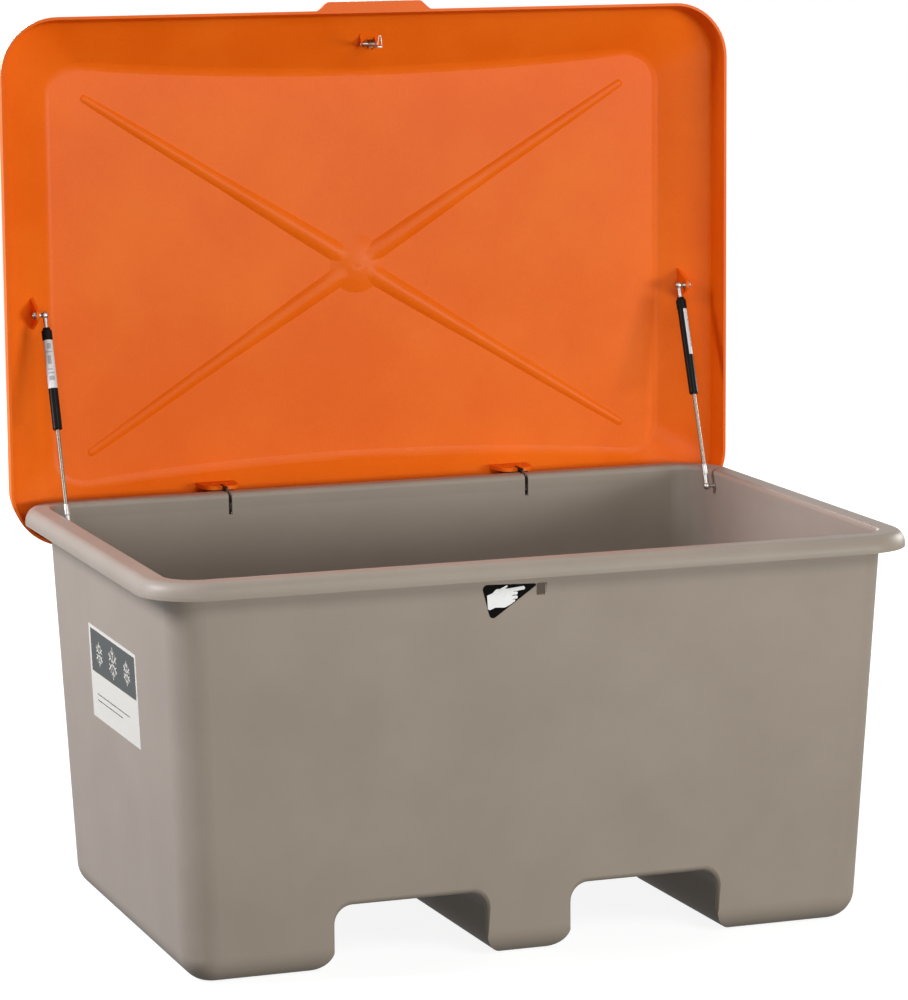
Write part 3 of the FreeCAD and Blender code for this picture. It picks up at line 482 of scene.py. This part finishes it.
handSign = {
    "foil": ((-94.0, 570.6, 7.0), (-4.6, 567.5, 2.2), (-78.7, 515.7, 6.5)),
    "palm": ((-85, 554.4, 1), (-77, 557.0, 4), (-71, 563.0, 6), (-57, 563.4, 2), (-44, 559.0, 2),
             (-43.5, 542.5, 2), (-46, 539.8, 3), (-57.5, 534.6, 6), (-72, 535.6, 6), (-81, 532.0, 2),
             (-83.5, 534.5, 1)),
    "fingers": (((-60, 559.4), (-29.0, 562.2), 2.8), ((-66, 561.2), (-54.9, 566.2), 1.4),
                ((-52, 555.6), (-39.9, 555.2), 2.5), ((-52, 549.4), (-39.8, 549.2), 2.5),
                ((-52, 543.8), (-43.4, 544.3), 2.3)),
    "gaps": (((-43.6, 558.0), (-39.4, 558.1), 0.35), ((-45.6, 551.6), (-38.6, 552.4), 0.4),
             ((-45.4, 545.9), (-39.6, 546.6), 0.25)),
    "stepMm": 0.01, "foilSteps": 10, "palmSteps": 4, "endSteps": 8}


def capsule(start, end, radius, steps):
    a, b = Vector(start), Vector(end)
    heading = math.atan2(b.y - a.y, b.x - a.x)
    outline = []
    for middle, turn in ((b, heading - math.pi / 2), (a, heading + math.pi / 2)):
        for k in range(steps + 1):
            angle = turn + math.pi * k / steps
            outline.append((middle.x + radius * math.cos(angle), middle.y + radius * math.sin(angle)))
    return outline


def inMetres(outline):
    return [(a / 1000, b / 1000) for a, b in outline]


def makeHandSign(s):
    foil = inMetres(roundCorners(s["foil"], s["foilSteps"]))
    newPiece("handSignFoil", platesFrom([foil], onFrontWall, film["lift"], film["top"], "handSignFoil"),
             blackInk, "tub")
    # Palm and fingers overlap, so each lies a step higher than the one before and no two tops fall together
    shapes = [roundCorners(s["palm"], s["palmSteps"])]
    shapes += [capsule(*finger, s["endSteps"]) for finger in s["fingers"]]
    hand = bmesh.new()
    for i, shape in enumerate(shapes):
        high = inkTop + s["stepMm"] / 1000 * i
        addMesh(hand, platesFrom([inMetres(shape)], onFrontWall, film["top"], high, "handPart"))
    newPiece("handSignHand", meshFrom(hand, "handSignHand"), whiteInk, "tub")
    gaps = [inMetres(capsule(*gap, s["endSteps"])) for gap in s["gaps"]]
    newPiece("handSignLines", platesFrom(gaps, onFrontWall, inkTop, inkTop + film["ink"], "handSignLines"),
             blackInk, "tub")


makeHandSign(handSign)
print("hand sign laid on")


# Gas springs: a printed foil round each tube. Heights run from the lower ball along the spring, turns are the
# degrees that each foil spans, and marks are (low, high, from, to), the last two in shares of that span.

gasSpring = {"x": 0.542, "y": 0.285, "z": 0.583, "tilt": 69.346, "tubeRadius": 0.0075, "foilLow": 0.2235,
             "foilHigh": 0.3015, "foilGap": 0.00004, "foilThick": 0.00022,
             "turns": {"left": (-178, -30), "right": (-98, 42)},
             "marks": ((0.236, 0.243, 0.30, 0.75), (0.247, 0.249, 0.25, 0.80), (0.253, 0.255, 0.25, 0.66),
                       (0.262, 0.276, 0.34, 0.62), (0.281, 0.283, 0.25, 0.78), (0.287, 0.296, 0.40, 0.70)),
             "foilSteps": 32, "markSteps": 12, "smoothDegrees": 30}


def alongSpring(side):
    tilt = math.radians(gasSpring["tilt"])
    ahead = Vector((0, math.cos(tilt), math.sin(tilt)))
    across = Vector((1, 0, 0))
    rear = ahead.cross(across)
    ball = Vector((side * gasSpring["x"], gasSpring["y"], gasSpring["z"]))
    return lambda p: ball + across * p.x + rear * p.y + ahead * p.z


def ringOutline(inner, outer, low, high):
    return lambda angle: [(inner, low), (outer, low), (outer, high), (inner, high)]


def makeSpringFoils(s):
    skin = s["tubeRadius"] + s["foilGap"]
    outer = s["tubeRadius"] + s["foilThick"]
    for name, side in (("left", -1), ("right", 1)):
        start, end = s["turns"][name]
        span = end - start
        place = alongSpring(side)
        foil = spunForm(ringOutline(skin, outer, s["foilLow"], s["foilHigh"]), place, s["foilSteps"],
                        start, span)
        newPiece("springFoil_" + name, smoothMeshFrom(foil, "springFoil_" + name, s["smoothDegrees"]),
                 silverFoil, "cylinder_" + name)
        marks = bmesh.new()
        for low, high, a, b in s["marks"]:
            mark = spunForm(ringOutline(outer, outer + film["ink"], low, high), place, s["markSteps"],
                            start + span * a, span * (b - a))
            addMesh(marks, meshFrom(mark, "mark"))
        newPiece("springMarks_" + name, smoothMeshFrom(marks, "springMarks_" + name, s["smoothDegrees"]),
                 paleInk, "cylinder_" + name)


makeSpringFoils(gasSpring)
print("foils laid round the gas springs")


# Catch: the torsion spring wound from one wire, and the hook with its window. The pin is in metres and the
# rest in mm from it, as in the closed lid, y to the rear and z up. atPin turns that to the open lid.

catch = {"pinY": 0.429398, "pinZ": 1.316, "wire": 0.8, "wireSides": 12, "coil": 6.2, "coilSteps": 88,
         "pitch": 2.4, "turns": 3, "start": 9.0, "legY": 3.3, "legDown": 30.0, "footBend": 1.76,
         "footDrop": 1.056, "cornerCut": 0.528, "baseY": 9.46, "baseZ": 12.72, "baseAside": 0.1,
         "wireSmoothDegrees": 40, "hookX": 3.0, "hookWidth": 8.0, "tipWidth": 4.5, "thick": 2.2, "hub": 4.6,
         "bore": 2.05, "hubSteps": 32, "shankTop": -3.68, "noseZ": -77.4, "noseReach": 17.0,
         "leftBar": 0.9, "rightBar": 1.3, "endBar": 1.4, "barRoot": 0.66, "hair": 0.02, "edge": 0.25,
         "hookSmoothDegrees": 35}


def atPin(x, y, z):
    return Vector((x / 1000, catch["pinY"] + z / 1000, catch["pinZ"] - y / 1000))


def catchWirePath(s):
    def leaves(y, z, side):
        # Where round the coil a straight leg to this point starts
        return math.atan2(z, y) + side * math.acos(s["coil"] / math.hypot(y, z))

    first = leaves(s["legY"], -s["legDown"], 1)
    last = first + (leaves(s["baseY"], s["baseZ"], -1) - first) % math.tau + math.tau * s["turns"]

    def onCoil(angle):
        x = s["start"] + s["pitch"] * (angle - first) / math.tau
        return (x, s["coil"] * math.cos(angle), s["coil"] * math.sin(angle))

    # The foot lies behind the hook's shank, then the leg goes up to the coil, and a last leg to the bracket
    footX = s["start"] - s["footBend"]
    footZ = -s["legDown"] - s["footDrop"]
    path = [(footX - s["hookWidth"], s["legY"], footZ), (footX, s["legY"], footZ),
            (s["start"] - s["cornerCut"], s["legY"], -s["legDown"] - s["cornerCut"]),
            (s["start"], s["legY"], -s["legDown"])]
    path += [onCoil(first + (last - first) * k / s["coilSteps"]) for k in range(s["coilSteps"] + 1)]
    path.append((onCoil(last)[0] + s["baseAside"], s["baseY"], s["baseZ"]))
    return [atPin(*p) for p in path]


def makeCatchSpring(s):
    points = catchWirePath(s)
    source = bpy.data.meshes.new("catchWirePath")
    source.from_pydata(points, [(i, i + 1) for i in range(len(points) - 1)], [])
    tree, keys = makeWireTree()
    inputs = {"Wire radius": s["wire"] / 1000, "Wire sides": s["wireSides"], "Material": springSteel}
    mesh = grownMesh("catchSpring", source, tree, keys, inputs, s["wireSmoothDegrees"])
    newPiece("catchSpring", mesh, springSteel, "latch", "latch_spring")


def makeCatchHook(s):
    left, right = s["hookX"] - s["hookWidth"] / 2, s["hookX"] + s["hookWidth"] / 2
    tipLeft, tipRight = s["hookX"] - s["tipWidth"] / 2, s["hookX"] + s["tipWidth"] / 2
    low, high = s["noseZ"], s["noseZ"] + s["thick"]
    tip = -s["noseReach"]
    # The bars of the nose start inside the shank, and the end bar lies a hair within them, so that no two
    # blocks share an edge
    root, hair = s["barRoot"], s["hair"]
    shank = ((left, 0), (right, 0), (right, s["thick"]), (left, s["thick"]))
    leftBar = ((left + hair, root), (left + s["leftBar"], root), (tipLeft + s["leftBar"], tip),
               (tipLeft, tip))
    rightBar = ((right - s["rightBar"], root), (right - hair, root), (tipRight, tip),
                (tipRight - s["rightBar"], tip))
    endBar = ((tipLeft + hair, tip + hair), (tipRight - hair, tip + hair),
              (tipRight - hair, tip + s["endBar"]), (tipLeft + hair, tip + s["endBar"]))
    form = bmesh.new()
    addPlate(form, shank, atPin, low, s["shankTop"])
    addPlate(form, leftBar, atPin, low, high)
    addPlate(form, rightBar, atPin, low, high)
    addPlate(form, endBar, atPin, low + hair, high - hair)
    bmesh.ops.recalc_face_normals(form, faces=form.faces)
    bmesh.ops.bevel(form, geom=form.edges[:], offset=s["edge"] / 1000, segments=2, profile=0.5,
                    affect="EDGES")
    hub = spunForm(ringOutline(s["bore"], s["hub"], left, right), lambda p: atPin(p.z, p.x, p.y),
                   s["hubSteps"])
    addMesh(form, meshFrom(hub, "hub"))
    newPiece("catchHook", smoothMeshFrom(form, "catchHook", s["hookSmoothDegrees"]), brightSteel, "latch",
             "latch_hook")


makeCatchSpring(catch)
makeCatchHook(catch)
print("catch made")


# Fasteners: domed rivets of the hinge arms, and nuts with a washer on the ball studs. Both are made upright.
# The rivets stay so, and the nuts are turned outward along X, on the left and on the right.

fasteners = {
    "rivet": {"shank": 0.002, "head": 0.004, "dome": 0.0014, "domeStepDegrees": 15, "length": 0.009,
              "tailEnd": 0.0024, "tailHigh": 0.0012, "tailRim": 0.00036, "steps": 24,
              "at": [(x + dx, 0.429, 0.614) for x in (-0.254, 0.254) for dx in (-0.011, 0.011)]},
    "nut": {"across": 0.010, "bore": 0.00303, "washer": 0.0062, "washerHigh": 0.0007, "high": 0.004,
            "chamfer": 0.0051, "chamferDegrees": 30, "topInset": 0.0001, "steps": 48,
            "upper": [(-0.557, 0.406, 0.904), (0.557, 0.406, 0.904)],
            "lower": [(-0.5613, 0.285, 0.583), (0.5613, 0.285, 0.583)]},
    "upright": (0, 0, 0), "turned": [(0, -math.pi / 2, 0), (0, math.pi / 2, 0)], "smoothDegrees": 35}


def rivetOutline(s):
    foot = -s["length"] - s["tailHigh"]
    tail = [(0, foot), (s["tailEnd"], foot), (s["head"], -s["length"] - s["tailRim"]),
            (s["head"], -s["length"])]
    rise = [math.radians(a) for a in range(0, 90, s["domeStepDegrees"])]
    dome = [(s["head"] * math.cos(a), s["dome"] * math.sin(a)) for a in rise]
    return tail + [(s["shank"], -s["length"]), (s["shank"], 0)] + dome + [(0, s["dome"])]


def nutOutline(s, angle):
    # The hexagon's radius at this angle, with its corners turned down where the chamfer meets them
    radius = s["across"] / 2 / math.cos((angle + math.pi / 6) % (math.pi / 3) - math.pi / 6)
    drop = max(radius - s["chamfer"], 0) * math.tan(math.radians(s["chamferDegrees"]))
    return [(s["bore"], 0), (s["washer"], 0), (s["washer"], s["washerHigh"]), (radius, s["washerHigh"]),
            (radius, s["high"] - drop), (min(radius, s["chamfer"]) - s["topInset"], s["high"]),
            (s["bore"], s["high"])]


def makeFasteners(name, outlineAt, steps, points, turns, grower, material, body, replaced):
    single = bpy.data.objects.new(name + "One", meshFrom(spunForm(outlineAt, Vector, steps), name + "One"))
    bpy.context.scene.collection.objects.link(single)
    source = bpy.data.meshes.new(name + "Points")
    source.from_pydata(points, [], [])
    turn = source.attributes.new("turn", "FLOAT_VECTOR", "POINT")
    for i, angles in enumerate(turns):
        turn.data[i].vector = angles
    inputs = {"Fastener": single, "Material": material}
    mesh = grownMesh(name, source, *grower, inputs, fasteners["smoothDegrees"])
    bpy.data.objects.remove(single)
    newPiece(name, mesh, material, body, replaced)


def makeAllFasteners(s):
    grower = makeFastenerTree()
    rivet, nut = s["rivet"], s["nut"]
    makeFasteners("hingeRivets", lambda angle: rivetOutline(rivet), rivet["steps"], rivet["at"],
                  [s["upright"]] * len(rivet["at"]), grower, lidGelcoat, "lid", "hinge_rivets")
    for name, key, body, node in (("upperNuts", "upper", "lid", "upper_stud_nuts"),
                                  ("lowerNuts", "lower", "tub", "lower_stud_nuts")):
        makeFasteners(name, lambda angle: nutOutline(nut, angle), nut["steps"], nut[key], s["turned"],
                      grower, zincPlate, body, node)


makeAllFasteners(fasteners)
print("rivets and nuts set")


# Floor and world. Both are white to the eye and dim for what falls on the object, as under a cut-out
# photograph, and the glow of the floor falls off a little towards the object's foot.

stage = {"floorHalf": 40, "floorDark": "#2c2c2c", "floorLight": "#909090", "glowNear": 1.0, "glowFar": 3.5,
         "glowLow": 0.88, "glowHigh": 1.0, "glowMirrored": 0.4, "worldDim": 0.02, "worldSeen": 1.0,
         "worldMirrored": 0.75}


def seenShare(tree, glossy):
    # 1 for rays that the eye follows, glossy for mirrored ones, 0 for the light that falls on things
    rays = addNode(tree, "ShaderNodeLightPath")
    direct = addNode(tree, "ShaderNodeMath", operation="MAXIMUM",
                     links={0: rays.outputs["Is Camera Ray"], 1: rays.outputs["Is Transmission Ray"]})
    mirrored = addNode(tree, "ShaderNodeMath", {1: glossy}, {0: rays.outputs["Is Glossy Ray"]},
                       operation="MULTIPLY")
    return addNode(tree, "ShaderNodeMath", links={0: direct.outputs[0], 1: mirrored.outputs[0]},
                   operation="MAXIMUM").outputs[0]


def makeFloor(s):
    material, tree = newMaterial("paleFloor")
    place = addNode(tree, "ShaderNodeTexCoord").outputs["Object"]
    away = addNode(tree, "ShaderNodeVectorMath", links={0: place}, operation="LENGTH")
    pale = addNode(tree, "ShaderNodeMapRange",
                   {"From Min": s["glowNear"], "From Max": s["glowFar"], "To Min": s["glowLow"],
                    "To Max": s["glowHigh"]},
                   {"Value": away.outputs["Value"]}, interpolation_type="SMOOTHSTEP")
    glow = addNode(tree, "ShaderNodeMath", links={0: pale.outputs[0], 1: seenShare(tree, s["glowMirrored"])},
                   operation="MULTIPLY")
    tone = addNode(tree, "ShaderNodeMix", {6: toLinear(s["floorDark"]), 7: toLinear(s["floorLight"])},
                   {0: seenShare(tree, 0.0)}, data_type="RGBA")
    matt = addNode(tree, "ShaderNodeBsdfDiffuse", links={"Color": tone.outputs[2]})
    light = addNode(tree, "ShaderNodeEmission", {"Color": (1, 1, 1, 1)}, {"Strength": glow.outputs[0]})
    both = addNode(tree, "ShaderNodeAddShader", links={0: matt.outputs[0], 1: light.outputs[0]})
    addNode(tree, "ShaderNodeOutputMaterial", links={"Surface": both.outputs[0]})
    form = bmesh.new()
    form.faces.new([form.verts.new((x * s["floorHalf"], y * s["floorHalf"], 0))
                    for x, y in ((-1, -1), (1, -1), (1, 1), (-1, 1))])
    mesh = meshFrom(form, "floor")
    mesh.materials.append(material)
    floor = bpy.data.objects.new("floor", mesh)
    bpy.context.scene.collection.objects.link(floor)


def makeWorld(s):
    world = bpy.data.worlds.new("studio")
    bpy.context.scene.world = world
    world.use_nodes = True
    tree = world.node_tree
    tree.nodes.clear()
    power = addNode(tree, "ShaderNodeMapRange", {"To Min": s["worldDim"], "To Max": s["worldSeen"]},
                    {"Value": seenShare(tree, s["worldMirrored"])})
    shade = addNode(tree, "ShaderNodeBackground", {"Color": (1, 1, 1, 1)}, {"Strength": power.outputs[0]})
    addNode(tree, "ShaderNodeOutputWorld", links={"Surface": shade.outputs[0]})


# Soft boxes: two from the left that are a little cooler than the rest, a low broad pair in front, one over
# the front rim, and two that open up the back and the right side

coolWhite = (1.0, 1.02, 1.14)
plainWhite = (1, 1, 1)
lamps = {
    "leftBox": {"at": (-4.4, 0.9, 1.6), "aim": (-0.5, 0, 0.5), "wide": 1.8, "high": 2.4, "watts": 72,
                "tint": coolWhite},
    "leftHighBox": {"at": (-3.6, 0.6, 3.0), "aim": (-0.3, 0, 0.5), "wide": 1.4, "high": 1.4, "watts": 210,
                    "tint": coolWhite},
    "rightBox": {"at": (3.2, -5.0, 1.0), "aim": (0.1, 0, 0.8), "wide": 2.4, "high": 1.0, "watts": 180},
    "frontBox": {"at": (-1.8, -6.0, 1.0), "aim": (0, 0, 0.8), "wide": 2.2, "high": 1.0, "watts": 112},
    "highBox": {"at": (0.6, -3.4, 2.4), "aim": (0, 0, 0.9), "wide": 1.6, "high": 1.0, "watts": 42},
    "backBox": {"at": (0.6, 6.0, 2.0), "aim": (0, 0.3, 0.7), "wide": 2.4, "high": 1.8, "watts": 190},
    "sideBox": {"at": (4.8, 1.6, 1.8), "aim": (0, 0.2, 0.7), "wide": 2.4, "high": 1.8, "watts": 150}}


def makeLamps(settings):
    for name, s in settings.items():
        data = bpy.data.lights.new(name, "AREA")
        data.shape = "RECTANGLE"
        data.size = s["wide"]
        data.size_y = s["high"]
        data.energy = s["watts"]
        data.color = s.get("tint", plainWhite)
        lamp = bpy.data.objects.new(name, data)
        lamp.location = s["at"]
        way = Vector(s["aim"]) - Vector(s["at"])
        lamp.rotation_mode = "QUATERNION"
        lamp.rotation_quaternion = way.to_track_quat("-Z", "Y")
        bpy.context.scene.collection.objects.link(lamp)


# The photograph's own view, found from the straight edges of the tub. Angles are in degrees, and lens and
# sensor in mm.

cameraView = {"at": (-2.1211, -5.9318, 1.6465), "yaw": 19.647, "down": 9.118, "roll": -0.4584,
              "lens": 148.99, "sensor": 36, "near": 0.1, "far": 100}


def makeCamera(s):
    yaw, down, roll = (math.radians(s[k]) for k in ("yaw", "down", "roll"))
    level = Vector((math.sin(yaw), math.cos(yaw), 0))
    upward = Vector((0, 0, 1))
    ahead = level * math.cos(down) - upward * math.sin(down)
    right = Vector((math.cos(yaw), -math.sin(yaw), 0))
    top = upward * math.cos(down) + level * math.sin(down)
    rolledRight = right * math.cos(roll) + top * math.sin(roll)
    rolledTop = top * math.cos(roll) - right * math.sin(roll)
    data = bpy.data.cameras.new("photoView")
    data.lens = s["lens"]
    data.sensor_width = s["sensor"]
    data.clip_start = s["near"]
    data.clip_end = s["far"]
    camera = bpy.data.objects.new("photoView", data)
    turn = Matrix((rolledRight, rolledTop, -ahead)).transposed().to_4x4()
    camera.matrix_world = Matrix.Translation(s["at"]) @ turn
    bpy.context.scene.collection.objects.link(camera)
    bpy.context.scene.camera = camera


makeFloor(stage)
makeWorld(stage)
makeLamps(lamps)
makeCamera(cameraView)
bpy.context.scene.view_settings.view_transform = "Standard"
print("stage, lamps and camera set")
